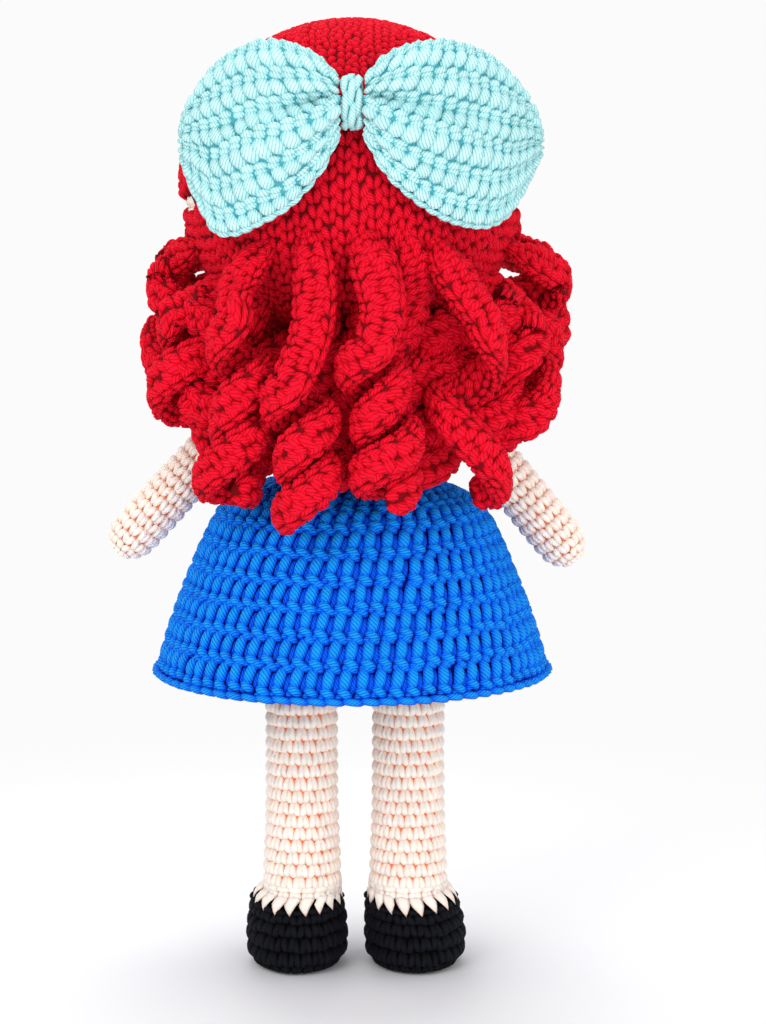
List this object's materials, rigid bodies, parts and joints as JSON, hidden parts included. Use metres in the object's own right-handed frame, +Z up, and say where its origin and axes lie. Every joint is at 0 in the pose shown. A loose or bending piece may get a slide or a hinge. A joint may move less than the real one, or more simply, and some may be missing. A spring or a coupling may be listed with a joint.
{
  "type": "crocheted doll",
  "caption": "Stuffed crocheted doll that stands on flat soles, with swinging arms, a head that turns a little, a flared skirt, corkscrew hair and a bow.",
  "frame": {"origin": "middle of the doll's footprint box, on the plane that the soles stand on", "axes": "+Z up through the head, -Y the way that the doll faces, +X to the doll's left"},
  "size_m": [0.149, 0.1276, 0.3],
  "materials": {
    "red_yarn": "crimson acrylic yarn, crocheted, matt",
    "skin_yarn": "pale peach cotton yarn, single crochet, matt",
    "blue_yarn": "royal blue yarn, double crochet, matt",
    "aqua_yarn": "pale aqua cotton yarn, crocheted in rows, matt",
    "black_yarn": "black yarn, single crochet, matt",
    "filling": "white polyester fibre filling, firmly packed",
    "beech": "plain beech, sanded",
    "insole_board": "grey board",
    "eye_plastic": "glossy black moulded plastic",
    "washer_plastic": "grey moulded plastic",
    "mouth_thread": "rose embroidery thread",
    "joint_thread": "waxed upholstery thread"
  },
  "bodies": {
    "body": {"torso": "skin_yarn", "torso_stuffing": "filling", "bodice": "blue_yarn", "skirt": "blue_yarn", "neck": "skin_yarn", "neck_dowel": "beech", "arm_joint_cord": "joint_thread", "left_shoe": "black_yarn", "left_insole": "insole_board", "left_shoe_stuffing": "filling", "left_leg": "skin_yarn", "left_leg_stuffing": "filling", "left_leg_rod": "beech", "right_shoe": "black_yarn", "right_insole": "insole_board", "right_shoe_stuffing": "filling", "right_leg": "skin_yarn", "right_leg_stuffing": "filling", "right_leg_rod": "beech"},
    "head": {"head": "skin_yarn", "head_stuffing": "filling", "hair_cap": "red_yarn", "nose": "skin_yarn", "mouth": "mouth_thread", "bow_left_loop": "aqua_yarn", "bow_right_loop": "aqua_yarn", "bow_band": "aqua_yarn", "left_eye": "eye_plastic", "left_eye_washer": "washer_plastic", "right_eye": "eye_plastic", "right_eye_washer": "washer_plastic", "hair_lock_a": "red_yarn", "hair_lock_b": "red_yarn", "hair_lock_c": "red_yarn", "hair_lock_d": "red_yarn", "hair_lock_e": "red_yarn", "hair_lock_f": "red_yarn", "hair_lock_g": "red_yarn", "hair_lock_h": "red_yarn", "hair_lock_left_1": "red_yarn", "hair_lock_left_2": "red_yarn", "hair_lock_left_3": "red_yarn", "hair_lock_right_1": "red_yarn", "hair_lock_right_2": "red_yarn", "hair_lock_right_3": "red_yarn"},
    "left_arm": {"left_arm": "skin_yarn", "left_arm_button": "beech", "left_arm_stuffing": "filling"},
    "right_arm": {"right_arm": "skin_yarn", "right_arm_button": "beech", "right_arm_stuffing": "filling"}
  },
  "joints": [
    {"name": "head_turn", "type": "hinge", "parent": "body", "child": "head", "pos_m": [-0.00153, -0.00261, 0.1983], "axis": [0, 0, 1], "range_deg": [-8, 8]},
    {"name": "left_arm_swing", "type": "hinge", "parent": "body", "child": "left_arm", "pos_m": [0.02041, -0.00261, 0.1871], "axis": [-1, 0, 0], "range_deg": [-5, 90]},
    {"name": "right_arm_swing", "type": "hinge", "parent": "body", "child": "right_arm", "pos_m": [-0.02347, -0.00261, 0.1871], "axis": [-1, 0, 0], "range_deg": [-5, 90]}
  ]
}
